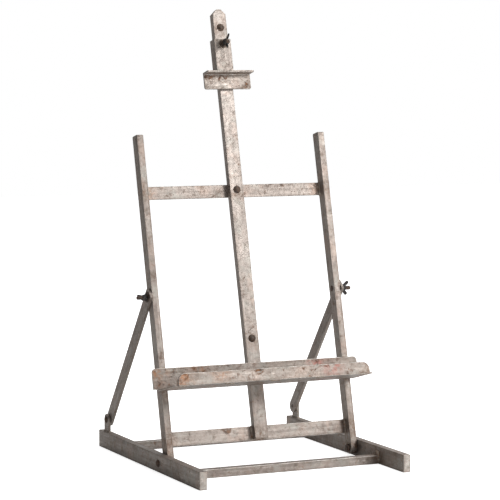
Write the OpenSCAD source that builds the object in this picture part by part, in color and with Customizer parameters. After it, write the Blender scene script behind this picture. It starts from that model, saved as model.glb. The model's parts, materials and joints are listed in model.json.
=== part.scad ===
// Tabletop easel: a leaning steel frame on two runners, held by a rear strut each side.
// Origin: middle of the base, on the table. +X is right, -Y is the front, +Z is up.
// All sizes are in millimetres. "up" is measured along the leaning frame from its pivots.

/* [Base] */
// Outer width across the two runners
base_w = 330; // [300:1:380]
// Length of each runner, end plates included
runner_l = 390; // [390:1:430]
// Height of a runner tube
runner_h = 25.4; // [25:0.1:30]
// Width of a runner tube
runner_t = 11; // [10:0.5:12]
// Wall of a runner tube and of its end plates
runner_wall = 1.5; // [1.2:0.1:2]
// Side of the two square crossbars
bar_s = 12.7; // [10:0.1:14]
// Runner front end to the front crossbar
front_bar_in = 76.5; // [60:0.5:90]
// Runner back end to the rear crossbar
rear_bar_in = 51; // [45:1:60]

/* [Easel frame] */
// Lean of the frame, back from upright
lean = 13.95; // [10:0.05:17]
// Runner front end to the fold pivots
pivot_in = 151; // [145:1:160]
// Length of a post above its pivot
post_l = 481; // [460:1:520]
// Width of a post, side to side
post_w = 10; // [8:0.5:12]
// Depth of a post, front to back
post_d = 18; // [16:0.5:20]
// Thickness of the two rails
rail_t = 4; // [3:0.5:6]
// Height of the top rail
top_rail_h = 19; // [15:0.5:25]
// Pivots to the lower edge of the top rail
top_rail_up = 386; // [370:0.5:400]
// Height of the bottom rail
low_rail_h = 21; // [15:0.5:25]
// Pivots to the lower edge of the bottom rail
low_rail_up = 22.5; // [20:0.5:30]

/* [Mast] */
// Width of the mast
mast_w = 21; // [18:0.5:22]
// Depth of the mast
mast_d = 11; // [9:0.5:11]
// Pivots to the top of the mast
mast_top = 672; // [660:1:720]
// Pivots to the foot of the mast
mast_foot = 24; // [22:0.5:28]
// Width of the two cut corners at the top of the mast
mast_cut = 7.5; // [4:0.5:8]
// Top of the mast down to the stop bolt
stop_down = 28; // [24:1:32]

/* [Tray] */
// Pivots to the underside of the tray
tray_up = 102.5; // [90:1:120]
// Thickness of the shelf
shelf_t = 2.5; // [2:0.5:3]
// Width of the shelf
shelf_w = 316; // [300:1:320]
// Depth of the shelf in front of the posts
shelf_d = 64; // [40:1:70]
// Thickness of the back plate and the lip
tray_t = 3; // [2:0.5:4]
// Width of the back plate
back_w = 332; // [320:1:336]
// Height of the back plate above the shelf
back_h = 30.5; // [20:0.5:32]
// Width of the lip
lip_w = 306; // [290:1:316]
// Height of the lip
lip_h = 18; // [12:0.5:24]
// Radius of the lip's upper corners
lip_r = 11; // [4:0.5:12]

/* [Canvas clamp] */
// Top of the mast down to the top of the sleeve
sleeve_down = 46; // [46:1:80]
// Height of the sleeve
sleeve_h = 72; // [60:1:80]
// Wall of the sleeve
sleeve_wall = 2.5; // [2:0.5:3]
// Gap between sleeve and mast on each side
sleeve_gap = 0.5; // [0.3:0.1:0.7]
// Width of the clamp angle
angle_w = 76; // [60:1:90]
// Height of the clamp angle's upright leg
angle_h = 25.5; // [20:0.5:30]
// Reach of the clamp angle's level leg
angle_d = 19; // [18:1:30]
// Thickness of both legs of the clamp angle
angle_t = 3; // [2:0.5:4]

/* [Struts] */
// Pivots to the clamp bolts on the posts
clamp_up = 241; // [220:1:260]
// Runner back end to the strut pins
pin_in = 23; // [20:1:28]
// Runner top to the strut pins
pin_up = 18.6; // [17:0.1:24]
// Width of a strut
strut_w = 19.5; // [14:0.5:21]
// Thickness of a strut and of a lug
strut_t = 4; // [3:0.5:4]
// Width of a lug
lug_w = 17; // [14:0.5:18]
// Turn of the left wing nut
left_wing_turn = 105; // [0:1:180]
// Turn of the right wing nut
right_wing_turn = 15; // [0:1:180]
// Turn of the canvas clamp's wing nut
clamp_wing_turn = 12; // [0:1:180]

/* [Hidden] */
$fn = 64;
// fasteners
bolt_r = 3;
fixed_bore_r = 3.04;
pivot_bore_r = 3.06;
head_r = 6;
head_h = 3;
nut_r = 5.8;
nut_h = 5;
thin_nut_h = 3.5;
low_head_h = 0.8;
washer_r = 8;
washer_t = 0.9;
wing_hub_r = 4.6;
wing_hub_h = 6.5;
wing_r = 3.9;
wing_t = 1.9;
wing_out = 7.8;
wing_rise = 7.4;
face_gap = 0.1;
strut_gap = 0.3;
// base
runner_x = base_w / 2 - runner_t;
pivot_y = pivot_in - runner_l / 2;
pivot_z = runner_h / 2;
// easel frame, in its own leaning axes
post_xo = runner_x - washer_t - face_gap;
post_xi = post_xo - post_w;
rail_y = post_d / 2 - rail_t;
mast_y = rail_y - mast_d;
post_round = 2;
back_r = 6;
stop_up = mast_top - stop_down;
rail_bolt_up = top_rail_up + top_rail_h / 2;
low_bolt_up = 172;
// canvas clamp
sleeve_up = mast_top - sleeve_down - sleeve_h;
sleeve_y = mast_y - sleeve_gap - sleeve_wall;
sleeve_ow = mast_w + 2 * (sleeve_gap + sleeve_wall);
sleeve_od = mast_d + 2 * (sleeve_gap + sleeve_wall);
angle_up = sleeve_up - 6.5;
knob_up = sleeve_up + sleeve_h - 8;
boss_h = 4;
angle_low_r = 3;
angle_front_r = 1.5;
screw_out = 7;
// struts
clamp_y = pivot_y + clamp_up * sin(lean);
clamp_z = pivot_z + clamp_up * cos(lean);
pin_y = runner_l / 2 - pin_in;
pin_z = runner_h + pin_up;
strut_xi = post_xo + strut_gap;
strut_xo = strut_xi + strut_t;
lug_xi = strut_xo + strut_gap;
strut_run = norm([clamp_y - pin_y, clamp_z - pin_z]);
strut_lean = atan2(pin_y - clamp_y, clamp_z - pin_z);
strut_over = 10;
washer_out = 1.5;
stud_out = 15;

// ---------- helpers ----------

// a rod along +X from x0 to x1
module rod_x(r, x0, x1) {
  translate([x0, 0, 0])
    rotate([0, 90, 0])
      cylinder(r = r, h = x1 - x0);
}

// a rod along +Y from y0 to y1
module rod_y(r, y0, y1) {
  translate([0, y0, 0])
    rotate([-90, 0, 0])
      cylinder(r = r, h = y1 - y0);
}

// low domed head that rises along +Z from z = 0
module dome(r, h) {
  steps = 5;
  ball = (r * r + h * h) / (2 * h);
  edge = asin(r / ball);
  rotate_extrude()
    polygon([
      [0, 0],
      for (i = [0 : steps - 1])
        [ball * sin(edge * (1 - i / steps)), ball * cos(edge * (1 - i / steps)) - ball + h],
      [0, h]
    ]);
}

// what is cut away to round a corner: the corner points to +X +Z
module corner_cut(r, y0, y1) {
  difference() {
    translate([0, y0 - 1, 0])
      cube([r + 1, y1 - y0 + 2, r + 1]);
    rod_y(r, y0 - 2, y1 + 2);
  }
}

// upright plate, centred in X, with its lower edge at z = 0
module plate(w, h, y0, y1, r_top, r_low) {
  difference() {
    translate([-w / 2, y0, 0])
      cube([w, y1 - y0, h]);
    for (side = [0, 1])
      mirror([side, 0, 0]) {
        if (r_top > 0)
          translate([w / 2 - r_top, 0, h - r_top])
            corner_cut(r_top, y0, y1);
        if (r_low > 0)
          translate([w / 2 - r_low, 0, r_low])
            mirror([0, 0, 1])
              corner_cut(r_low, y0, y1);
      }
  }
}

// the leaning frame's own axes: origin on the pivot line
module leaning() {
  translate([0, pivot_y, pivot_z])
    rotate([-lean, 0, 0])
      children();
}

// mirrors a right-hand piece to the left
module hand(side) {
  mirror([side < 0 ? 1 : 0, 0, 0])
    children();
}

// hex nut along X between x0 and x1
module nut_x(x0, x1) {
  difference() {
    translate([x0, 0, 0])
      rotate([0, 90, 0])
        cylinder(r = nut_r, h = x1 - x0, $fn = 6);
    rod_x(fixed_bore_r, x0 - 1, x1 + 1);
  }
}

// wing nut seen from its seat: rises along +Z, wings along X
module wing_nut() {
  difference() {
    union() {
      cylinder(r = wing_hub_r + 1, h = 1.6);
      cylinder(r1 = wing_hub_r, r2 = wing_hub_r - 1, h = wing_hub_h);
      for (s = [-1, 1]) {
        translate([s * wing_out, 0, wing_rise])
          rotate([90, 0, 0])
            cylinder(r = wing_r, h = wing_t, center = true);
        translate([s * wing_out / 2, 0, wing_hub_h / 2 + 0.5])
          cube([wing_out, wing_t, wing_hub_h - 1], center = true);
      }
    }
    translate([0, 0, -1])
      cylinder(r = fixed_bore_r, h = 20);
  }
}

// ---------- base ----------

module runner(side) {
  color([0.45, 0.42, 0.39])
    hand(side)
      difference() {
        translate([runner_x, -runner_l / 2 + runner_wall, 0])
          cube([runner_t, runner_l - 2 * runner_wall, runner_h]);
        translate([runner_x + runner_wall, -runner_l / 2, runner_wall])
          cube([runner_t - 2 * runner_wall, runner_l, runner_h - 2 * runner_wall]);
        translate([0, pivot_y, pivot_z])
          rod_x(fixed_bore_r, runner_x - 1, base_w / 2 + 1);
      }
}

module left_runner() {
  runner(-1);
}

module right_runner() {
  runner(1);
}

module runner_end_plates() {
  color([0.72, 0.69, 0.66])
    for (side = [-1, 1], y = [-runner_l / 2, runner_l / 2 - runner_wall])
      hand(side)
        translate([runner_x, y, 0])
          cube([runner_t, runner_wall, runner_h]);
}

module crossbar(y0) {
  color([0.5, 0.47, 0.44])
    translate([-runner_x, y0, 0])
      cube([2 * runner_x, bar_s, bar_s]);
}

module front_crossbar() {
  crossbar(-runner_l / 2 + front_bar_in);
}

module rear_crossbar() {
  crossbar(runner_l / 2 - rear_bar_in - bar_s);
}

module lug(side) {
  color([0.42, 0.39, 0.36])
    hand(side)
      difference() {
        union() {
          translate([lug_xi, pin_y - lug_w / 2, runner_h])
            cube([strut_t, lug_w, pin_z - runner_h]);
          translate([0, pin_y, pin_z])
            rod_x(lug_w / 2, lug_xi, lug_xi + strut_t);
        }
        translate([0, pin_y, pin_z])
          rod_x(fixed_bore_r, lug_xi - 1, lug_xi + strut_t + 1);
      }
}

module left_lug() {
  lug(-1);
}

module right_lug() {
  lug(1);
}

module pivot_bolt(side) {
  color([0.3, 0.24, 0.2])
    hand(side)
      translate([0, pivot_y, pivot_z]) {
        rod_x(bolt_r, post_xi - face_gap - thin_nut_h - 1, base_w / 2);
        translate([base_w / 2, 0, 0])
          rotate([0, 90, 0])
            dome(head_r, head_h + 0.5);
      }
}

module left_pivot_bolt() {
  pivot_bolt(-1);
}

module right_pivot_bolt() {
  pivot_bolt(1);
}

module pivot_washers() {
  color([0.4, 0.36, 0.33])
    for (side = [-1, 1])
      hand(side)
        translate([0, pivot_y, pivot_z])
          difference() {
            rod_x(washer_r, runner_x - washer_t, runner_x);
            rod_x(fixed_bore_r, runner_x - washer_t - 1, runner_x + 1);
          }
}

module pivot_nuts() {
  color([0.32, 0.27, 0.23])
    for (side = [-1, 1])
      hand(side)
        translate([0, pivot_y, pivot_z])
          nut_x(post_xi - face_gap - thin_nut_h, post_xi - face_gap);
}

module lug_pin(side) {
  color([0.3, 0.25, 0.21])
    hand(side)
      translate([0, pin_y, pin_z]) {
        rod_x(bolt_r, strut_xi, lug_xi + strut_t);
        translate([lug_xi + strut_t, 0, 0])
          rotate([0, 90, 0])
            dome(head_r - 0.5, head_h);
      }
}

module left_lug_pin() {
  lug_pin(-1);
}

module right_lug_pin() {
  lug_pin(1);
}

// ---------- easel frame ----------

module post(side) {
  color([0.5, 0.46, 0.43])
    hand(side)
      leaning()
        difference() {
          union() {
            translate([post_xi, -post_d / 2, 0])
              cube([post_w, post_d, post_l - post_round]);
            translate([post_xi, -post_d / 2 + post_round, 0])
              cube([post_w, post_d - 2 * post_round, post_l]);
            for (s = [-1, 1])
              translate([0, s * (post_d / 2 - post_round), post_l - post_round])
                rod_x(post_round, post_xi, post_xo);
            rod_x(post_d / 2, post_xi, post_xo);
          }
          rod_x(pivot_bore_r, post_xi - 1, post_xo + 1);
          translate([0, 0, clamp_up])
            rod_x(fixed_bore_r, post_xi - 1, post_xo + 1);
        }
}

module left_post() {
  post(-1);
}

module right_post() {
  post(1);
}

module rail(up, h, hole_up) {
  color([0.6, 0.56, 0.52])
    leaning()
      difference() {
        translate([-post_xi, rail_y, up])
          cube([2 * post_xi, rail_t, h]);
        if (hole_up > 0)
          translate([0, 0, hole_up])
            rod_y(fixed_bore_r, rail_y - 1, rail_y + rail_t + 1);
      }
}

module top_rail() {
  rail(top_rail_up, top_rail_h, rail_bolt_up);
}

module bottom_rail() {
  rail(low_rail_up, low_rail_h, 0);
}

module mast() {
  w = mast_w / 2;
  h = mast_top - mast_foot;
  color([0.55, 0.52, 0.48])
    leaning()
      difference() {
        translate([0, mast_y + mast_d, mast_foot])
          rotate([90, 0, 0])
            linear_extrude(mast_d)
              polygon([
                [-w, 0],
                [w, 0],
                [w, h - mast_cut],
                [w - mast_cut, h],
                [mast_cut - w, h],
                [-w, h - mast_cut]
              ]);
        for (up = [stop_up, rail_bolt_up, low_bolt_up])
          translate([0, 0, up])
            rod_y(fixed_bore_r, mast_y - 1, mast_y + mast_d + 1);
      }
}

module tray_back_plate() {
  color([0.62, 0.58, 0.55])
    leaning()
      translate([0, 0, tray_up + shelf_t])
        plate(back_w, back_h, -post_d / 2 - tray_t, -post_d / 2, back_r, 0);
}

module tray_shelf() {
  color([0.52, 0.48, 0.45])
    leaning()
      translate([-shelf_w / 2, -post_d / 2 - shelf_d, tray_up])
        cube([shelf_w, shelf_d, shelf_t]);
}

module tray_lip() {
  y1 = -post_d / 2 - shelf_d;
  color([0.7, 0.67, 0.64])
    leaning()
      translate([0, 0, tray_up])
        plate(lip_w, lip_h, y1 - tray_t, y1, lip_r, 1);
}

// round-headed bolt through the mast, and through y1 behind it
module mast_bolt(up, y1) {
  color([0.3, 0.25, 0.21])
    leaning()
      translate([0, 0, up]) {
        rod_y(bolt_r, mast_y, y1);
        translate([0, mast_y, 0])
          rotate([90, 0, 0])
            dome(head_r, head_h);
      }
}

module stop_bolt() {
  mast_bolt(stop_up, mast_y + mast_d + nut_h + 1);
}

module rail_bolt() {
  mast_bolt(rail_bolt_up, rail_y + rail_t + nut_h + 1);
}

module lower_mast_bolt() {
  mast_bolt(low_bolt_up, mast_y + mast_d + nut_h + 1);
}

module mast_nuts() {
  color([0.32, 0.27, 0.23])
    leaning()
      for (nut = [
        [stop_up, rail_y],
        [rail_bolt_up, rail_y + rail_t],
        [low_bolt_up, rail_y]
      ])
        translate([0, nut[1], nut[0]])
          difference() {
            rotate([-90, 0, 0])
              cylinder(r = nut_r, h = nut_h, $fn = 6);
            rod_y(fixed_bore_r, -1, nut_h + 1);
          }
}

module post_clamp_bolts() {
  color([0.3, 0.25, 0.21])
    for (side = [-1, 1])
      hand(side)
        leaning()
          translate([0, 0, clamp_up]) {
            rod_x(bolt_r, post_xi, post_xo);
            translate([post_xi, 0, 0])
              rotate([0, -90, 0])
                dome(head_r - 1, low_head_h);
          }
}

// ---------- canvas clamp ----------

module clamp_sleeve() {
  color([0.5, 0.47, 0.44])
    leaning()
      difference() {
        translate([-sleeve_ow / 2, sleeve_y, sleeve_up])
          cube([sleeve_ow, sleeve_od, sleeve_h]);
        translate([-mast_w / 2 - sleeve_gap, mast_y - sleeve_gap, sleeve_up - 1])
          cube([mast_w + 2 * sleeve_gap, mast_d + 2 * sleeve_gap, sleeve_h + 2]);
        translate([0, 0, knob_up])
          rod_y(fixed_bore_r, sleeve_y - 1, mast_y);
      }
}

module clamp_angle() {
  color([0.6, 0.57, 0.53])
    leaning()
      translate([0, 0, angle_up]) {
        plate(angle_w, angle_h, sleeve_y - angle_t, sleeve_y, 0, angle_low_r);
        translate([0, sleeve_y - angle_t, angle_h - angle_t])
          rotate([90, 0, 0])
            plate(angle_w, angle_d - angle_t, 0, angle_t, angle_front_r, 0);
      }
}

module clamp_boss() {
  color([0.34, 0.3, 0.27])
    leaning()
      translate([0, 0, knob_up])
        difference() {
          rod_y(nut_r + 0.4, sleeve_y - boss_h, sleeve_y);
          rod_y(fixed_bore_r, sleeve_y - boss_h - 1, sleeve_y + 1);
        }
}

module clamp_stud() {
  color([0.36, 0.33, 0.3])
    leaning()
      translate([0, 0, knob_up])
        rod_y(bolt_r, sleeve_y - boss_h - screw_out - wing_hub_h - 1, mast_y - 0.2);
}

module clamp_wing_nut() {
  color([0.14, 0.13, 0.13])
    leaning()
      translate([0, sleeve_y - boss_h - screw_out, knob_up])
        rotate([90, 0, 0])
          rotate([0, 0, 90 - clamp_wing_turn])
            wing_nut();
}

// ---------- struts ----------

// the strut's own axes: origin on its pin, +Z towards the clamp bolt
module on_strut(side) {
  hand(side)
    translate([0, pin_y, pin_z])
      rotate([strut_lean, 0, 0])
        children();
}

module strut(side) {
  color([0.48, 0.45, 0.42])
    on_strut(side)
      difference() {
        union() {
          rod_x(strut_w / 2, strut_xi, strut_xo);
          translate([strut_xi, -strut_w / 2, 0])
            cube([strut_t, strut_w, strut_run + strut_over - 3]);
          translate([strut_xi, 3 - strut_w / 2, 0])
            cube([strut_t, strut_w - 6, strut_run + strut_over]);
          for (s = [-1, 1])
            translate([0, s * (strut_w / 2 - 3), strut_run + strut_over - 3])
              rod_x(3, strut_xi, strut_xo);
        }
        rod_x(pivot_bore_r, strut_xi - 1, strut_xo + 1);
        translate([0, 0, strut_run])
          rod_x(fixed_bore_r, strut_xi - 1, strut_xo + 1);
      }
}

module stud(side) {
  color([0.36, 0.33, 0.3])
    on_strut(side)
      translate([0, 0, strut_run])
        rod_x(bolt_r, strut_xi, strut_xo + washer_out + stud_out);
}

module washer(side) {
  color([0.5, 0.46, 0.42])
    on_strut(side)
      translate([0, 0, strut_run])
        difference() {
          rod_x(washer_r - 0.5, strut_xo, strut_xo + washer_out);
          rod_x(fixed_bore_r, strut_xo - 1, strut_xo + washer_out + 1);
        }
}

module strut_wing_nut(side, turn) {
  color([0.14, 0.13, 0.13])
    hand(side)
      translate([strut_xo + washer_out + 0.2, clamp_y, clamp_z])
        rotate([0, 90, 0])
          rotate([0, 0, turn])
            wing_nut();
}

module left_strut() {
  strut(-1);
}

module right_strut() {
  strut(1);
}

module left_stud() {
  stud(-1);
}

module right_stud() {
  stud(1);
}

module left_washer() {
  washer(-1);
}

module right_washer() {
  washer(1);
}

module left_wing_nut() {
  strut_wing_nut(-1, left_wing_turn);
}

module right_wing_nut() {
  strut_wing_nut(1, right_wing_turn);
}

left_runner();
right_runner();
runner_end_plates();
front_crossbar();
rear_crossbar();
left_lug();
right_lug();
left_pivot_bolt();
right_pivot_bolt();
pivot_washers();
pivot_nuts();
left_lug_pin();
right_lug_pin();
left_post();
right_post();
top_rail();
bottom_rail();
mast();
tray_back_plate();
tray_shelf();
tray_lip();
stop_bolt();
rail_bolt();
lower_mast_bolt();
mast_nuts();
post_clamp_bolts();
clamp_sleeve();
clamp_angle();
clamp_boss();
clamp_stud();
clamp_wing_nut();
left_strut();
left_stud();
left_washer();
left_wing_nut();
right_strut();
right_stud();
right_washer();
right_wing_nut();
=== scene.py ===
import json
import math

import bmesh
import bpy
from mathutils import Matrix, Vector, noise


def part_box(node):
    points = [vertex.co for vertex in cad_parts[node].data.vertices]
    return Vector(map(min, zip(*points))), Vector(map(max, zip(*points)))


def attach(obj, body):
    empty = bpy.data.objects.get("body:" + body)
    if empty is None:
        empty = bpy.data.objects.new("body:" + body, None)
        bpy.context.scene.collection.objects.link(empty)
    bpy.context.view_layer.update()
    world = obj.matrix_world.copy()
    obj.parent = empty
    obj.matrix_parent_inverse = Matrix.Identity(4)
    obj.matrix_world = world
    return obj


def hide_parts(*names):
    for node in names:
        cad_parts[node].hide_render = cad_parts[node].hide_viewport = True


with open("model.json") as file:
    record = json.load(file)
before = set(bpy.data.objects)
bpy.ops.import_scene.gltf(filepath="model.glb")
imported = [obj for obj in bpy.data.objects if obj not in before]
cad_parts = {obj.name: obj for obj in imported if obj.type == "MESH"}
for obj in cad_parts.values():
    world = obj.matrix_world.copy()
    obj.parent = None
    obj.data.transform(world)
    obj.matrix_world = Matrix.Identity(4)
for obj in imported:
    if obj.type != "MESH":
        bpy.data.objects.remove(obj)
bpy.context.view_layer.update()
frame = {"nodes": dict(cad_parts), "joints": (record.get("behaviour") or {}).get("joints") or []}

NODES = frame["nodes"]
JOINTS = {j["name"]: j for j in frame["joints"]}

# ---------- the leaning frame's own axes, from the record ----------
UP = Vector(JOINTS["clamp_slide"]["axis"]).normalized()
PIVOT = Vector(JOINTS["frame_fold"]["pos_m"])
LEAN = math.atan2(UP.y, UP.z)
BACK = Vector((0, math.cos(LEAN), -math.sin(LEAN)))


def lean_point(x, y, z):
    """A point given in the leaning frame's axes, in metres."""
    return PIVOT + Vector((x, 0, 0)) + BACK * y + UP * z


def lean_box(node):
    """Lowest and highest corner of a node in the leaning frame's axes."""
    pts = []
    for v in NODES[node].data.vertices:
        d = v.co - PIVOT
        pts.append((d.x, d.dot(BACK), d.dot(UP)))
    return (Vector([min(p[i] for p in pts) for i in range(3)]),
            Vector([max(p[i] for p in pts) for i in range(3)]))


# ---------- node-tree helpers ----------
MIX_A, MIX_B, MIX_RESULT = 6, 7, 2      # a Mix node's colour sockets


class Tree:
    """A material with one Principled shader, and short names for the nodes that feed it."""

    def __init__(self, name):
        self.mat = bpy.data.materials.new(name)
        self.mat.use_nodes = True
        self.nt = self.mat.node_tree
        self.nt.nodes.clear()
        self.bsdf = self.node("BsdfPrincipled")
        self.link(self.bsdf.outputs[0], self.node("OutputMaterial").inputs[0])

    def node(self, kind, **props):
        n = self.nt.nodes.new("ShaderNode" + kind)
        for k, v in props.items():
            setattr(n, k, v)
        return n

    def link(self, a, b):
        self.nt.links.new(a, b)

    def coords(self, stretch=(1, 1, 1), shift=0.0, lean=0.0):
        tc = self.node("TexCoord")
        turn = self.node("Mapping", vector_type="POINT")
        turn.inputs["Rotation"].default_value = (lean, 0, 0)
        turn.inputs["Location"].default_value = (shift, shift * 0.7, -shift)
        size = self.node("Mapping", vector_type="POINT")
        size.inputs["Scale"].default_value = stretch
        self.link(tc.outputs["Object"], turn.inputs["Vector"])
        self.link(turn.outputs[0], size.inputs["Vector"])
        return size.outputs[0]

    def noise(self, vec, scale, detail=4.0, rough=0.55, distort=0.0):
        n = self.node("TexNoise")
        n.inputs["Scale"].default_value = scale
        n.inputs["Detail"].default_value = detail
        n.inputs["Roughness"].default_value = rough
        n.inputs["Distortion"].default_value = distort
        self.link(vec, n.inputs["Vector"])
        return n.outputs["Fac"]

    def range(self, val, a, b, c=0.0, d=1.0):
        n = self.node("MapRange", clamp=True)
        n.inputs["From Min"].default_value = a
        n.inputs["From Max"].default_value = b
        n.inputs["To Min"].default_value = c
        n.inputs["To Max"].default_value = d
        self.link(val, n.inputs["Value"])
        return n.outputs["Result"]

    def math(self, op, a, b):
        n = self.node("Math", operation=op)
        for i, v in enumerate((a, b)):
            if isinstance(v, (int, float)):
                n.inputs[i].default_value = v
            else:
                self.link(v, n.inputs[i])
        return n.outputs[0]

    def mix(self, fac, a, b):
        n = self.node("Mix", data_type="RGBA")
        self.link(fac, n.inputs["Factor"])
        for key, v in ((MIX_A, a), (MIX_B, b)):
            if isinstance(v, tuple):
                n.inputs[key].default_value = (*v, 1.0)
            else:
                self.link(v, n.inputs[key])
        return n.outputs[MIX_RESULT]

    def edges(self, radius, lo, hi):
        """1 at an edge and 0 on flats: how far the rounded normal turns from the face's own."""
        bev = self.node("Bevel", samples=6)
        bev.inputs["Radius"].default_value = radius
        geo = self.node("NewGeometry")
        dot = self.node("VectorMath", operation="DOT_PRODUCT")
        self.link(bev.outputs[0], dot.inputs[0])
        self.link(geo.outputs["Normal"], dot.inputs[1])
        return self.range(dot.outputs["Value"], hi, lo)

    def bump(self, height, strength, distance):
        n = self.node("Bump")
        n.inputs["Strength"].default_value = strength
        n.inputs["Distance"].default_value = distance
        self.link(height, n.inputs["Height"])
        return n.outputs[0]

    def total(self, *parts):
        """Weighted sum of (value, weight) pairs."""
        weighted = [self.math("MULTIPLY", value, weight) for value, weight in parts]
        result = weighted[0]
        for part in weighted[1:]:
            result = self.math("ADD", result, part)
        return result

    def patches(self, noise, lo, hi, amount):
        """A noise cut into patches: 0 below lo, amount above hi."""
        return self.math("MULTIPLY", self.range(noise, lo, hi), amount)


# ---------- colour sums ----------
def scaled(colour, gain):
    return tuple(gain * c for c in colour)


def brighter(colour, gain, lift):
    return tuple(min(1.0, gain * c + lift) for c in colour)


def filtered(colour, tint):
    return tuple(a * b for a, b in zip(colour, tint))


def stained(colour, gain, tint):
    return tuple(gain * a + b for a, b in zip(colour, tint))


def steel(name, light, dark, lean=0.0, grain=(1, 1, 0.06), shift=0.0,
          rust=0.5, rough=(0.38, 0.62), metal=0.7, scuff=0.6, painted_top_light=None, stains=()):
    """Bare steel: patchy scale, stains, scuffs, rust, a darker line beside the edges, and pits.

    grain: how the streaks are stretched, small along the bar
    painted_top_light: painted light, a paler tone towards the top; the height where it starts, the
    height where it is full, strength
    stains: centre, radius, colour and strength of each local stain
    """
    t = Tree(name)
    iso = t.coords((1, 1, 1), shift, lean)
    run = t.coords(grain, shift, lean)
    cloud = t.noise(iso, 38, 6, 0.66, 0.3)
    blotch = t.noise(iso, 120, 6, 0.68, 0.2)
    fine = t.noise(iso, 620, 4, 0.65)
    streak = t.noise(run, 300, 4, 0.6, 0.3)
    band = t.noise(run, 120, 5, 0.6, 0.4)
    tone = t.total((t.range(cloud, 0.32, 0.66), 0.30), (t.range(blotch, 0.38, 0.62), 0.24),
                   (t.range(streak, 0.36, 0.66), 0.22), (t.range(band, 0.36, 0.64), 0.28))
    col = t.mix(tone, dark, light)
    if painted_top_light:
        # painted light: paler towards its top, standing in for the stronger light that falls there
        start, full, strength = painted_top_light
        height = t.node("SeparateXYZ")
        t.link(t.coords(), height.inputs[0])
        col = t.mix(t.range(height.outputs["Z"], start, full, 0, strength), col,
                    brighter(light, 1.5, 0.1))
    # cool grey patches where the scale is thick
    cool = t.patches(t.noise(iso, 46, 5, 0.6, 0.4), 0.48, 0.66, 0.5)
    col = t.mix(cool, col, filtered(light, (0.72, 0.80, 0.80)))
    # faint reddish heat stains
    warm = t.patches(t.noise(iso, 33, 5, 0.6, 0.4), 0.52, 0.68, 0.42)
    col = t.mix(warm, col, filtered(light, (0.86, 0.72, 0.66)))
    # brown film in the hollows of the scale
    film = t.patches(t.noise(iso, 70, 7, 0.7, 0.5), 0.53, 0.68, 0.6)
    col = t.mix(film, col, stained(dark, 0.62, (0.050, 0.028, 0.012)))
    # pale scuffs along the bar
    scuffs = t.math("MULTIPLY", t.range(streak, 0.58, 0.72), t.range(blotch, 0.46, 0.6))
    col = t.mix(t.math("MULTIPLY", scuffs, scuff), col, brighter(light, 1.35, 0.08))
    # brown heat stain and rust around the welds, bolts and ends
    broken = t.range(t.noise(iso, 130, 7, 0.72, 0.6), 0.40, 0.60)
    for centre, radius, tint, strength in stains:
        away = t.node("VectorMath", operation="DISTANCE")
        t.link(t.coords(), away.inputs[0])
        away.inputs[1].default_value = centre
        near = t.range(away.outputs["Value"], radius, 0.3 * radius)
        col = t.mix(t.math("MULTIPLY", t.math("MULTIPLY", near, broken), strength), col, tint)
    # rust freckles and a few bigger spots
    spots = t.range(t.noise(iso, 72, 8, 0.76, 0.9), 0.605 - 0.06 * rust, 0.675 - 0.05 * rust)
    freckles = t.math("MULTIPLY", t.range(t.noise(iso, 280, 5, 0.68), 0.57, 0.67),
                      t.range(cloud, 0.42, 0.6))
    rusty = t.math("MULTIPLY", t.math("MAXIMUM", spots, freckles), min(1.0, 0.9 * rust + 0.2))
    rust_col = t.mix(t.range(t.noise(iso, 260, 4, 0.6), 0.35, 0.65),
                     (0.050, 0.024, 0.013), (0.26, 0.105, 0.035))
    col = t.mix(rusty, col, rust_col)
    # a darker line beside each edge, stronger in patches
    edge_darkening = t.math("MULTIPLY", t.edges(0.0042, 0.90, 0.997), t.range(blotch, 0.35, 0.6, 0.15, 0.6))
    col = t.mix(edge_darkening, col, stained(dark, 0.9, (0.020, 0.010, 0.003)))
    t.link(col, t.bsdf.inputs["Base Color"])
    polish = t.range(t.total((cloud, 0.6), (blotch, 0.4)), 0.34, 0.66, *rough)
    t.link(t.math("ADD", polish, t.math("MULTIPLY", rusty, 0.28)), t.bsdf.inputs["Roughness"])
    dulled = t.math("MULTIPLY", rusty, metal * 0.9)
    t.link(t.math("SUBTRACT", metal, dulled), t.bsdf.inputs["Metallic"])
    pits = t.range(t.noise(iso, 190, 6, 0.7), 0.3, 0.48)
    relief = t.total((pits, 0.7), (fine, 0.3), (t.range(blotch, 0.3, 0.7), 0.5), (rusty, 0.5))
    t.link(t.bump(relief, 0.55, 0.0005), t.bsdf.inputs["Normal"])
    return t.mat


def dark_iron(name, base, rust_col, rust=0.6, shift=0.0, metal=0.55, wear=0.5):
    """Darkened metal of fasteners and wing nuts: freckled with rust, rubbed on the rims."""
    t = Tree(name)
    iso = t.coords((1, 1, 1), shift)
    a = t.noise(iso, 180, 6, 0.65, 0.5)
    b = t.noise(iso, 900, 4, 0.6)
    col = t.mix(t.range(a, 0.35, 0.65), base, brighter(base, 1.9, 0.01))
    spots = t.patches(t.noise(iso, 320, 6, 0.7, 0.8), 0.5, 0.62, rust)
    col = t.mix(spots, col, rust_col)
    worn = t.math("MULTIPLY", t.edges(0.0007, 0.75, 0.98), t.range(b, 0.35, 0.6))
    worn = t.math("MULTIPLY", worn, wear)
    col = t.mix(worn, col, (0.55, 0.52, 0.49))
    t.link(col, t.bsdf.inputs["Base Color"])
    r = t.range(a, 0.3, 0.7, 0.42, 0.72)
    t.link(t.math("ADD", r, t.math("MULTIPLY", spots, 0.2)), t.bsdf.inputs["Roughness"])
    t.link(t.math("MULTIPLY", t.math("SUBTRACT", 1.0, spots), metal), t.bsdf.inputs["Metallic"])
    t.link(t.bump(t.total((a, 0.7), (b, 0.3)), 0.6, 0.0003), t.bsdf.inputs["Normal"])
    return t.mat


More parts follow.
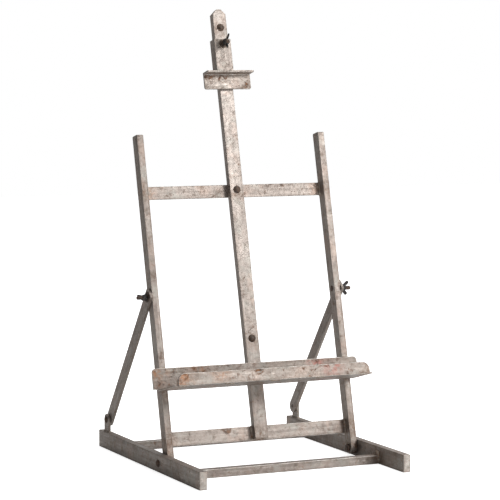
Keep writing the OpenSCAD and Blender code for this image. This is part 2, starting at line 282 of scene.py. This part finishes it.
def weld_metal(name, shift):
    """Weld beads: pale and burnt brown in turns, rough, with a few brown stains."""
    t = Tree(name)
    iso = t.coords((1, 1, 1), shift)
    a = t.noise(iso, 240, 6, 0.65, 0.6)
    b = t.noise(iso, 90, 4, 0.6, 0.5)
    col = t.mix(t.range(a, 0.35, 0.65), (0.17, 0.12, 0.085), (0.52, 0.46, 0.40))
    col = t.mix(t.patches(b, 0.5, 0.66, 0.75), col, (0.24, 0.11, 0.045))
    t.link(col, t.bsdf.inputs["Base Color"])
    t.link(t.range(a, 0.3, 0.7, 0.4, 0.7), t.bsdf.inputs["Roughness"])
    t.link(t.range(b, 0.45, 0.7, 0.65, 0.15), t.bsdf.inputs["Metallic"])
    t.link(t.bump(a, 0.6, 0.0005), t.bsdf.inputs["Normal"])
    return t.mat


# ---------- CAD nodes: edges eased, materials ----------
def ease(obj, width, segments=2, angle=32):
    """Joins the split corners and eases the sharp edges. The CAD mesh's own points stay as they are."""
    bpy.context.view_layer.objects.active = obj
    bpy.ops.mesh.customdata_custom_splitnormals_clear()
    w = obj.modifiers.new("join", "WELD")
    w.merge_threshold = 1e-6
    d = obj.modifiers.new("flat", "DECIMATE")
    d.decimate_type = "DISSOLVE"
    d.angle_limit = math.radians(0.5)
    b = obj.modifiers.new("ease", "BEVEL")
    b.width = width
    b.segments = segments
    b.limit_method = "ANGLE"
    b.angle_limit = math.radians(angle)
    n = obj.modifiers.new("normals", "WEIGHTED_NORMAL")
    n.mode = "FACE_AREA_WITH_ANGLE"
    n.weight = 100
    for p in obj.data.polygons:
        p.use_smooth = True


RUBBED_EDGE = steel("rubbed_edge", (0.86, 0.80, 0.74), (0.10, 0.078, 0.064), grain=(1, 1, 1),
                    shift=8.1, rust=0.45, rough=(0.3, 0.5), metal=0.6)


def dress(names, make, width, rubbed=True, **kw):
    """Gives each node its material, and its eased edges the rubbed one."""
    for i, n in enumerate(names):
        obj = NODES[n]
        obj.data.materials.clear()
        obj.data.materials.append(make(n, i))
        ease(obj, width, **kw)
        if rubbed:
            obj.data.materials.append(RUBBED_EDGE)
            obj.modifiers["ease"].material = 1


# ---------- where heat and rust have stained the steel ----------
HEAT = (0.135, 0.080, 0.048)
RUST = (0.285, 0.125, 0.05)
RED_LEAD = (0.36, 0.085, 0.06)


def ends(node, radius=0.02, tint=HEAT, strength=0.75):
    """A stain at the left and right end of a bar that runs across."""
    lo, hi = (Vector(v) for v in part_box(node))
    mid = (lo + hi) / 2
    return [((x, mid.y, mid.z), radius, tint, strength) for x in (lo.x, hi.x)]


def post_stains(node):
    lo, hi = lean_box(node)
    x = (lo.x + hi.x) / 2
    out = []
    for other in ("bottom_rail", "tray_shelf", "top_rail"):
        o_lo, o_hi = lean_box(other)
        out.append((tuple(lean_point(x, lo.y, (o_lo.z + o_hi.z) / 2)), 0.024, HEAT, 0.7))
    out.append((tuple(PIVOT + Vector((x, 0, 0))), 0.03, HEAT, 0.8))
    return out


def tray_stains(node):
    lo, hi = lean_box(node)
    y = (lo.y + hi.y) / 2
    width = hi.x - lo.x
    return [(tuple(lean_point(lo.x, y, hi.z)), 0.034, RUST, 0.9),
            (tuple(lean_point(lo.x + 0.22 * width, y, hi.z)), 0.020, RUST, 0.65),
            (tuple(lean_point(lo.x + 0.80 * width, y, hi.z)), 0.024, RED_LEAD, 0.55),
            (tuple(lean_point(hi.x, y, lo.z)), 0.024, HEAT, 0.8)]


def mast_stains():
    lo, hi = lean_box("mast")
    foot = (tuple(lean_point(0, lo.y, lo.z)), 0.026, HEAT, 0.8)
    bolts = []
    for bolt in ("stop_bolt", "rail_bolt", "lower_mast_bolt"):
        b_lo, b_hi = lean_box(bolt)
        bolts.append((tuple(lean_point(0, lo.y, b_lo.z)), 0.016, HEAT, 0.6))
    return [foot] + bolts


def runner_stains(side):
    """Heat stains on the inner top edge of a runner, where the cross bars are welded on."""
    lo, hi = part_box(side + "_runner")
    inner = hi[0] if side == "left" else lo[0]
    out = []
    for bar in ("front_crossbar", "rear_crossbar"):
        low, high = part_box(bar)
        out.append(((inner, (low[1] + high[1]) / 2, high[2]), 0.03, HEAT, 0.8))
    return out


STAINS = {
    "left_runner": runner_stains("left"),
    "right_runner": runner_stains("right"),
    "mast": mast_stains(),
    "left_post": post_stains("left_post"),
    "right_post": post_stains("right_post"),
    "top_rail": ends("top_rail", 0.022, RUST, 0.6),
    "bottom_rail": ends("bottom_rail"),
    "front_crossbar": ends("front_crossbar", 0.024),
    "rear_crossbar": ends("rear_crossbar", 0.024),
    "tray_back_plate": tray_stains("tray_back_plate"),
    "tray_shelf": tray_stains("tray_shelf"),
    "tray_lip": tray_stains("tray_lip"),
    "clamp_angle": ends("clamp_angle", 0.016, HEAT, 0.6),
}
# light and dark tone of the bars, then of the plates, in linear colour
PALE = (0.46, 0.405, 0.365)
MID = (0.115, 0.088, 0.074)
PALE2 = (0.50, 0.44, 0.395)
MID2 = (0.125, 0.096, 0.077)


def upright(n, i):
    tone = 1.16 if n == "clamp_sleeve" else 1.0
    # the mast gets painted light: a paler tone towards its top
    return steel("steel_" + n, scaled(PALE, tone), MID, lean=LEAN, grain=(1, 1, 0.06),
                 shift=0.37 * i + 0.11, rust=0.4, painted_top_light=(0.0, 0.6, 0.26) if n == "mast" else None,
                 stains=STAINS.get(n, ()))


def across(n, i):
    return steel("steel_" + n, scaled(PALE, 1.12), MID, lean=LEAN, grain=(0.06, 1, 1),
                 shift=0.53 * i + 1.3, rust=0.5, stains=STAINS.get(n, ()))


def along(n, i):
    return steel("steel_" + n, scaled(PALE, 0.92), scaled(MID, 0.8),
                 grain=(1, 0.06, 1), shift=0.41 * i + 2.2, rust=0.5, stains=STAINS.get(n, ()))


TRAY_TONE = {"tray_back_plate": 0.80, "tray_shelf": 0.8}


def plate(n, i):
    return steel("plate_" + n, scaled(PALE2, TRAY_TONE.get(n, 1.0)), MID2, lean=LEAN,
                 grain=(0.06, 1, 1), shift=0.61 * i + 3.1, rust=0.85, scuff=0.9,
                 stains=STAINS.get(n, ()))


# painted light: the runners' end plates get a much paler tone than the runners' steel, standing in for
# the front light on the ends
def end_plate(n, i):
    return steel("plate_" + n, (0.66, 0.60, 0.55), (0.2, 0.16, 0.135), grain=(1, 1, 1),
                 shift=9.3, rust=0.4, scuff=0.8)


STRUT_LEAN = -0.7        # slope of a strut, in radians, for the streaks along it


def strut_steel(n, i):
    return steel("steel_" + n, scaled(PALE, 0.85), MID, lean=STRUT_LEAN, grain=(1, 1, 0.06),
                 shift=0.47 * i + 4.4, rust=0.4)


def iron(n, i):
    return dark_iron("iron_" + n, (0.05, 0.036, 0.028), (0.17, 0.075, 0.03),
                     rust=0.75, shift=0.3 * i + 5.0)


def black(n, i):
    return dark_iron("black_" + n, (0.012, 0.011, 0.011), (0.09, 0.045, 0.025),
                     rust=0.3, shift=0.23 * i + 6.0, metal=0.3, wear=0.8)


dress(["left_post", "right_post", "mast", "clamp_sleeve"], upright, 0.0009, segments=3)
dress(["top_rail", "bottom_rail"], across, 0.0008)
dress(["left_runner", "right_runner"], along, 0.0010, segments=3)
dress(["left_lug", "right_lug"], along, 0.0004)
dress(["runner_end_plates"], end_plate, 0.0006)
dress(["front_crossbar", "rear_crossbar"], across, 0.0009, segments=3)
dress(["tray_back_plate", "tray_shelf", "tray_lip", "clamp_angle"], plate, 0.0008)
dress(["left_strut", "right_strut"], strut_steel, 0.0007)
dress(["left_pivot_bolt", "right_pivot_bolt", "pivot_washers", "pivot_nuts",
       "left_lug_pin", "right_lug_pin", "stop_bolt", "rail_bolt", "lower_mast_bolt",
       "mast_nuts", "post_clamp_bolts", "clamp_boss",
       "left_washer", "right_washer"], iron, 0.0003, rubbed=False, angle=40)

# ---------- rings of points ----------
def skin(bm, rings):
    """Quads between each ring and the next one."""
    for a, b in zip(rings, rings[1:]):
        for k in range(len(a)):
            j = (k + 1) % len(a)
            bm.faces.new((a[k], a[j], b[j], b[k]))


def skin_closed(bm, rings):
    skin(bm, rings)
    bm.faces.new(rings[0][::-1])
    bm.faces.new(rings[-1])


# ---------- weld beads ----------
RIPPLE = 0.0024          # one ripple of a weld bead
RINGS_PER_RIPPLE = 4
MIN_RINGS = 10
BEAD_SIDES = 10
PATH_MARKS = 24          # steps that measure a path's length
NEAR = 0.01              # share of a path that gives its direction
SKEW = Vector((0.31, 0.52, 0.79))       # a direction that no bead runs along


def bead(bm, path, radius, seed):
    """One weld bead along path(0..1), a closed lumpy tube half sunk in the corner it fills."""
    marks = [path(i / PATH_MARKS) for i in range(PATH_MARKS + 1)]
    total = sum((b - a).length for a, b in zip(marks, marks[1:]))
    count = max(MIN_RINGS, round(total / RIPPLE * RINGS_PER_RIPPLE))
    rings = []
    for i in range(1, count):
        f = i / count
        centre = path(f)
        ahead = (path(min(1, f + NEAR)) - path(max(0, f - NEAR))).normalized()
        side = (SKEW - ahead * ahead.dot(SKEW)).normalized()
        other = ahead.cross(side)
        s = f * total
        end = min(s, total - s) / (1.3 * radius)
        taper = math.sqrt(max(0.0, 1 - (1 - min(1.0, end)) ** 2))
        ripple = 0.84 + 0.24 * math.sqrt(abs(math.sin(math.pi * s / RIPPLE)))
        lump = 1 + 0.22 * noise.noise(Vector((seed * 3.7, s * 260, 1.5)))
        centre = centre + side * radius * 0.15 * noise.noise(Vector((s * 190, seed * 2.1, 7.3)))
        ring = []
        for k in range(BEAD_SIDES):
            a = 2 * math.pi * k / BEAD_SIDES
            r = radius * taper * ripple * lump
            r *= 1 + 0.10 * noise.noise(Vector((math.cos(a) * 2 + seed, math.sin(a) * 2, s * 400)))
            ring.append(bm.verts.new(centre + (side * math.cos(a) + other * math.sin(a)) * r))
        rings.append(ring)
    skin(bm, rings)
    for ring, tip, turned in ((rings[0], path(0), True), (rings[-1], path(1), False)):
        pole = bm.verts.new(tip)
        for k in range(BEAD_SIDES):
            j = (k + 1) % BEAD_SIDES
            bm.faces.new((ring[j], ring[k], pole) if turned else (ring[k], ring[j], pole))


# radii of the beads, in metres
BAR_SIDE = 0.0019
BAR_TOP = 0.0021
BAR_BLOB = 0.0032        # the thick bead on top of the front bar's right end
LUG_SIDE = 0.0014
LUG_END = 0.0015
RAIL_FRONT = 0.0018
RAIL_BACK = 0.0012
RAIL_FACE = 0.0015
FOOT_SIDE = 0.0029
FOOT_BELOW = 0.0016
FOOT_ABOVE = 0.0018
PLATE_SIDE = 0.0015
PLATE_TOP = 0.0012
TACK = 0.0012
SLEEVE_SIDE = 0.0015
SLEEVE_TOP = 0.0017
BOSS_RING = 0.0010
PAST = 0.001             # how far a bead runs past the corner it fills
TACKS = 5                # places along the tray with tack welds
TACK_HALF = 0.008        # half the length of a tack weld
TACK_SPREAD = 0.92       # share of the tray's half width where the first and last tack sit


def line(a, b):
    """A straight path from a to b, as a function of 0..1."""
    a, b = Vector(a), Vector(b)
    return lambda f: a.lerp(b, f)


def finish_piece(name, bm, mat, body, replaced=()):
    """Makes a piece of bm that rides on a body and stands in for the replaced nodes."""
    bmesh.ops.recalc_face_normals(bm, faces=bm.faces)
    mesh = bpy.data.meshes.new(name)
    bm.to_mesh(mesh)
    bm.free()
    for p in mesh.polygons:
        p.use_smooth = True
    mesh.materials.append(mat)
    obj = bpy.data.objects.new(name, mesh)
    bpy.context.scene.collection.objects.link(obj)
    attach(obj, body)
    if replaced:
        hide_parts(*replaced)
    return obj


def weld_group(name, body, beads, shift):
    """All beads of one body as one piece. beads = (path, radius) pairs."""
    bm = bmesh.new()
    for i, (path, radius) in enumerate(beads):
        bead(bm, path, radius, shift + 0.77 * i)
    finish_piece(name, bm, weld_metal("metal_" + name, shift), body)


def lean_line(a, b):
    """A straight path between two points in the leaning frame's axes."""
    return line(lean_point(*a), lean_point(*b))


def base_welds():
    beads = []
    for bar in ("front_crossbar", "rear_crossbar"):
        lo, hi = (Vector(v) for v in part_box(bar))
        for x in (lo.x, hi.x):
            for y in (lo.y, hi.y):
                beads.append((line((x, y, lo.z + 2 * PAST), (x, y, hi.z + PAST)), BAR_SIDE))
            beads.append((line((x, lo.y - PAST, hi.z), (x, hi.y + PAST, hi.z)), BAR_TOP))
        if bar == "front_crossbar":
            mid, above = (lo.y + hi.y) / 2, hi.z + 3 * PAST
            beads.append((line((hi.x, mid - 0.009, above), (hi.x, mid + 0.006, above)), BAR_BLOB))
    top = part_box("left_runner")[1][2]
    for lug in ("left_lug", "right_lug"):
        lo, hi = (Vector(v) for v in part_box(lug))
        for x in (lo.x, hi.x):
            beads.append((line((x, lo.y, top), (x, hi.y, top)), LUG_SIDE))
        for y in (lo.y, hi.y):
            beads.append((line((lo.x, y, top), (hi.x, y, top)), LUG_END))
    weld_group("base_welds", "base", beads, 11.0)


def frame_welds():
    beads = []
    mast_lo, mast_hi = lean_box("mast")
    for rail in ("top_rail", "bottom_rail"):
        lo, hi = lean_box(rail)
        for x in (lo.x, hi.x):
            beads.append((lean_line((x, lo.y, lo.z - PAST), (x, lo.y, hi.z + PAST)), RAIL_FRONT))
            beads.append((lean_line((x, hi.y, lo.z), (x, hi.y, hi.z)), RAIL_BACK))
            for z in (lo.z, hi.z):
                beads.append((lean_line((x, lo.y, z), (x, hi.y, z)), RAIL_FACE))
    lo, hi = lean_box("bottom_rail")
    for x in (mast_lo.x, mast_hi.x):
        beads.append((lean_line((x, lo.y, mast_lo.z - PAST), (x, lo.y, hi.z + PAST)), FOOT_SIDE))
    beads.append((lean_line((mast_lo.x, lo.y, mast_lo.z), (mast_hi.x, lo.y, mast_lo.z)), FOOT_BELOW))
    beads.append((lean_line((mast_lo.x, lo.y, hi.z), (mast_hi.x, lo.y, hi.z)), FOOT_ABOVE))
    plate_lo, plate_hi = lean_box("tray_back_plate")
    for post in ("left_post", "right_post"):
        p_lo, p_hi = lean_box(post)
        for x in (p_lo.x, p_hi.x):
            side = lean_line((x, plate_hi.y, plate_lo.z), (x, plate_hi.y, plate_hi.z))
            beads.append((side, PLATE_SIDE))
        top = lean_line((p_lo.x, plate_hi.y, plate_hi.z), (p_hi.x, plate_hi.y, plate_hi.z))
        beads.append((top, PLATE_TOP))
    shelf_lo, shelf_hi = lean_box("tray_shelf")
    for i in range(TACKS):
        x = shelf_lo.x * TACK_SPREAD * (1 - 2 * i / (TACKS - 1))
        for y, z in ((shelf_lo.y, shelf_lo.z), (shelf_lo.y, shelf_hi.z),
                     (plate_lo.y, shelf_hi.z), (shelf_hi.y, shelf_hi.z)):
            beads.append((lean_line((x - TACK_HALF, y, z), (x + TACK_HALF, y, z)), TACK))
    weld_group("frame_welds", "easel_frame", beads, 23.0)


def clamp_welds():
    beads = []
    s_lo, s_hi = lean_box("clamp_sleeve")
    angle_top = lean_box("clamp_angle")[1].z
    for x in (s_lo.x, s_hi.x):
        beads.append((lean_line((x, s_lo.y, s_lo.z), (x, s_lo.y, angle_top)), SLEEVE_SIDE))
    beads.append((lean_line((s_lo.x, s_lo.y, angle_top), (s_hi.x, s_lo.y, angle_top)), SLEEVE_TOP))
    b_lo, b_hi = lean_box("clamp_boss")
    mid, r = (b_lo + b_hi) / 2, (b_hi.x - b_lo.x) / 2

    def around(f):
        a = 2 * math.pi * f
        return lean_point(mid.x + r * math.cos(a), b_hi.y, mid.z + r * math.sin(a))
    beads.append((around, BOSS_RING))
    weld_group("clamp_welds", "canvas_clamp", beads, 37.0)


base_welds()
frame_welds()
clamp_welds()


# ---------- studs with a rolled thread, wing nuts ----------
LATHE_SIDES = 28


def lathe(bm, place, profile):
    """Closed turned shape. profile = (height, radius) pairs, or (height, radius(angle))."""
    rings = []
    for height, radius in profile:
        ring = []
        for k in range(LATHE_SIDES):
            a = 2 * math.pi * k / LATHE_SIDES
            r = radius(a) if callable(radius) else radius
            ring.append(bm.verts.new(place @ Vector((r * math.cos(a), r * math.sin(a), height))))
        rings.append(ring)
    skin_closed(bm, rings)


def axis_frame(origin, axis, sideways):
    """Matrix that maps local Z to axis and local X to the part of sideways square to it."""
    z = Vector(axis).normalized()
    x = Vector(sideways)
    x = (x - z * x.dot(z)).normalized()
    return Matrix.Translation(origin) @ Matrix((x, z.cross(x), z)).transposed().to_4x4()


THREAD_PITCH = 0.0011
THREAD_DEPTH = 0.00042
STUD_RADIUS = 0.003
RINGS_PER_TURN = 6
CHAMFER = 0.0012         # length of the taper at a stud's tip
CHAMFER_SLOPE = 0.9      # how much it narrows per unit of that length


def threaded_stud(name, node, joint, body):
    """Stud with a helical thread from end to end, chamfered at its tip."""
    axis = Vector(JOINTS[joint]["axis"]).normalized()
    foot = Vector(JOINTS[joint]["pos_m"])
    reach = [(v.co - foot).dot(axis) for v in NODES[node].data.vertices]
    start, end = min(reach), max(reach)
    place = axis_frame(foot, axis, UP.cross(axis) if abs(axis.x) < 0.5 else UP)
    steps = round((end - start) / THREAD_PITCH * RINGS_PER_TURN)
    rings = []
    for i in range(steps + 1):
        z = start + (end - start) * i / steps
        crest = STUD_RADIUS - CHAMFER_SLOPE * max(0.0, z - (end - CHAMFER))

        def ridge(a, z=z, crest=crest):
            f = (z / THREAD_PITCH - a / (2 * math.pi)) % 1.0
            return crest - THREAD_DEPTH * (1 - abs(2 * f - 1))
        rings.append((z, ridge))
    bm = bmesh.new()
    lathe(bm, place, rings)
    finish_piece(name, bm, iron(name, len(name)), body, (node,))


# height and radius down a wing nut's hub
HUB = ((0.0, 0.0050), (0.0004, 0.0055), (0.0012, 0.0055), (0.0017, 0.0049), (0.0030, 0.0046),
       (0.0052, 0.0042), (0.0060, 0.0039), (0.0064, 0.0034))


WING_HALF = 0.00115      # half thickness of a wing at its root
WING_TAPER = 0.00035     # how much thinner that half is at its tip
WING_STEPS = 9           # steps in each round end of a wing's outline
# share of the half thickness, and how far the outline reaches there: a rounded rim
WING_LAYERS = ((-1.0, 0.80), (-0.72, 0.95), (-0.3, 1.0), (0.3, 1.0), (0.72, 0.95), (1.0, 0.80))


def blade(bm, place, side):
    """A slim wing: a rounded leaf, thicker at its root and rolled at its rim."""
    root, tip = Vector((0.0032, 0.0032)), Vector((0.0088, 0.0083))
    root_r, tip_r = 0.0025, 0.0027
    run = tip - root
    slope = math.atan2(run.y, run.x)
    turn = math.asin((root_r - tip_r) / run.length)
    outline = []
    for i in range(WING_STEPS + 1):
        a = slope - math.pi / 2 - turn + (math.pi + 2 * turn) * i / WING_STEPS
        outline.append(tip + Vector((math.cos(a), math.sin(a))) * tip_r)
    for i in range(WING_STEPS + 1):
        a = slope + math.pi / 2 + turn + (math.pi - 2 * turn) * i / WING_STEPS
        outline.append(root + Vector((math.cos(a), math.sin(a))) * root_r)
    centre = (root + tip) / 2
    rings = []
    for level, grow in WING_LAYERS:
        ring = []
        for p in outline:
            q = centre + (p - centre) * grow
            far = min(1.0, max(0.0, (q - root).dot(run) / run.length_squared))
            half = WING_HALF - WING_TAPER * far
            ring.append(bm.verts.new(place @ Vector((side * q.x, half * level, q.y))))
        rings.append(ring)
    skin_closed(bm, rings)


def wing_nut(name, node, joint, body, wing_dir):
    """A turned hub with two wings; wing_dir says where the first wing points at rest."""
    axis = Vector(JOINTS[joint]["axis"]).normalized()
    foot = Vector(JOINTS[joint]["pos_m"])
    seat = min((v.co - foot).dot(axis) for v in NODES[node].data.vertices)
    place = axis_frame(foot + axis * seat, axis, wing_dir)
    bm = bmesh.new()
    lathe(bm, place, HUB)
    blade(bm, place, 1)
    blade(bm, place, -1)
    obj = finish_piece(name, bm, black(name, len(name)), body, (node,))
    sub = obj.modifiers.new("smooth", "SUBSURF")
    sub.levels = sub.render_levels = 1


def strut_wing_dir(turn):
    """Direction in the plane of a post's side, turned by degrees from straight down."""
    a = math.radians(turn)
    return (0, math.sin(a), -math.cos(a))


# how each wing nut stands at rest, in degrees: a guess, the photo is too coarse to tell
LEFT_WING_TURN = 105
RIGHT_WING_TURN = 15
CLAMP_WING_TURN = 12
clamp_turn = math.radians(CLAMP_WING_TURN)
wing_nut("left_wing_nut_looks", "left_wing_nut", "left_wing_spin", "left_wing",
         strut_wing_dir(LEFT_WING_TURN))
wing_nut("right_wing_nut_looks", "right_wing_nut", "right_wing_spin", "right_wing",
         strut_wing_dir(RIGHT_WING_TURN))
wing_nut("clamp_wing_nut_looks", "clamp_wing_nut", "clamp_wing_spin", "clamp_wing",
         Vector((1, 0, 0)) * math.sin(clamp_turn) + UP * math.cos(clamp_turn))
threaded_stud("left_stud_looks", "left_stud", "left_wing_spin", "left_strut_arm")
threaded_stud("right_stud_looks", "right_stud", "right_wing_spin", "right_strut_arm")
threaded_stud("clamp_stud_looks", "clamp_stud", "clamp_wing_spin", "canvas_clamp")


# ---------- camera, light, floor ----------
scene = bpy.context.scene
scene.view_settings.view_transform = "Standard"

CAM_AZ = math.radians(-24.68)
CAM_PITCH = math.radians(4.976)
CAM_DIST = 3.268
AIM = Vector((0.0006, 0.0, 0.3112))
LENS = 159.5

aim_dir = Vector((-math.sin(CAM_AZ) * math.cos(CAM_PITCH),
                  math.cos(CAM_AZ) * math.cos(CAM_PITCH), -math.sin(CAM_PITCH)))
cam_data = bpy.data.cameras.new("camera")
cam_data.lens = LENS
cam_data.sensor_width = 36.0
cam_data.clip_end = 60.0
cam = bpy.data.objects.new("camera", cam_data)
scene.collection.objects.link(cam)
cam.location = AIM - aim_dir * CAM_DIST
cam.rotation_euler = aim_dir.to_track_quat("-Z", "Y").to_euler()
scene.camera = cam


LAMP_AIM = Vector((0, 0, 0.3))


def lamp(name, loc, size, power, color=(1, 1, 1)):
    d = bpy.data.lights.new(name, "AREA")
    d.shape = "DISK"
    d.size = size
    d.energy = power
    d.color = color
    o = bpy.data.objects.new(name, d)
    scene.collection.objects.link(o)
    o.location = loc
    o.rotation_euler = (LAMP_AIM - Vector(loc)).to_track_quat("-Z", "Y").to_euler()


lamp("key", (1.8, -2.5, 2.0), 1.1, 62)
lamp("front", (1.3, -3.2, 0.6), 1.2, 14)
lamp("top", (0.5, 0.2, 2.6), 1.6, 24, color=(1.0, 0.99, 0.98))
lamp("back_right", (2.2, 1.6, 1.5), 1.2, 16)

# strength of the room's light on the object, dim on the left and bright on the right
LEFT_EDGE, RIGHT_EDGE = -0.6, 0.7
DIM, BRIGHT = 0.22, 0.75


def white_room():
    """White to the camera. On the object it is a light that grows from left to right."""
    world = bpy.data.worlds.new("world")
    world.use_nodes = True
    tree = world.node_tree
    tree.nodes.clear()

    def node(kind):
        return tree.nodes.new("ShaderNode" + kind)

    where, split, ramp = node("TexCoord"), node("SeparateXYZ"), node("MapRange")
    tree.links.new(where.outputs["Generated"], split.inputs[0])
    tree.links.new(split.outputs["X"], ramp.inputs["Value"])
    for key, value in (("From Min", LEFT_EDGE), ("From Max", RIGHT_EDGE),
                       ("To Min", DIM), ("To Max", BRIGHT)):
        ramp.inputs[key].default_value = value
    light, backdrop = node("Background"), node("Background")
    tree.links.new(ramp.outputs[0], light.inputs["Strength"])
    backdrop.inputs["Color"].default_value = (1, 1, 1, 1)
    backdrop.inputs["Strength"].default_value = 1.0
    choice = node("MixShader")
    tree.links.new(node("LightPath").outputs["Is Camera Ray"], choice.inputs[0])
    tree.links.new(light.outputs[0], choice.inputs[1])
    tree.links.new(backdrop.outputs[0], choice.inputs[2])
    tree.links.new(choice.outputs[0], node("OutputWorld").inputs[0])
    bpy.context.scene.world = world


FLOOR_HALF = 6.0
FLOOR_DROP = 0.0002      # keeps the floor clear of the runners' undersides
FLOOR_GLOW = 0.75        # makes the floor as white as the photo's, for the camera only


def white_floor():
    mesh = bpy.data.meshes.new("floor")
    bm = bmesh.new()
    bmesh.ops.create_grid(bm, x_segments=4, y_segments=4, size=FLOOR_HALF)
    bm.to_mesh(mesh)
    bm.free()
    floor = bpy.data.objects.new("floor", mesh)
    floor.location.z = -FLOOR_DROP
    bpy.context.scene.collection.objects.link(floor)
    t = Tree("floor")
    mottle = t.noise(t.coords(), 3, 3)
    t.link(t.mix(mottle, (0.93, 0.93, 0.93), (0.955, 0.955, 0.955)), t.bsdf.inputs["Base Color"])
    t.bsdf.inputs["Roughness"].default_value = 0.9
    t.bsdf.inputs["Emission Color"].default_value = (1, 1, 1, 1)
    seen = t.node("LightPath").outputs["Is Camera Ray"]
    t.link(t.math("MULTIPLY", seen, FLOOR_GLOW), t.bsdf.inputs["Emission Strength"])
    mesh.materials.append(t.mat)


white_room()
white_floor()
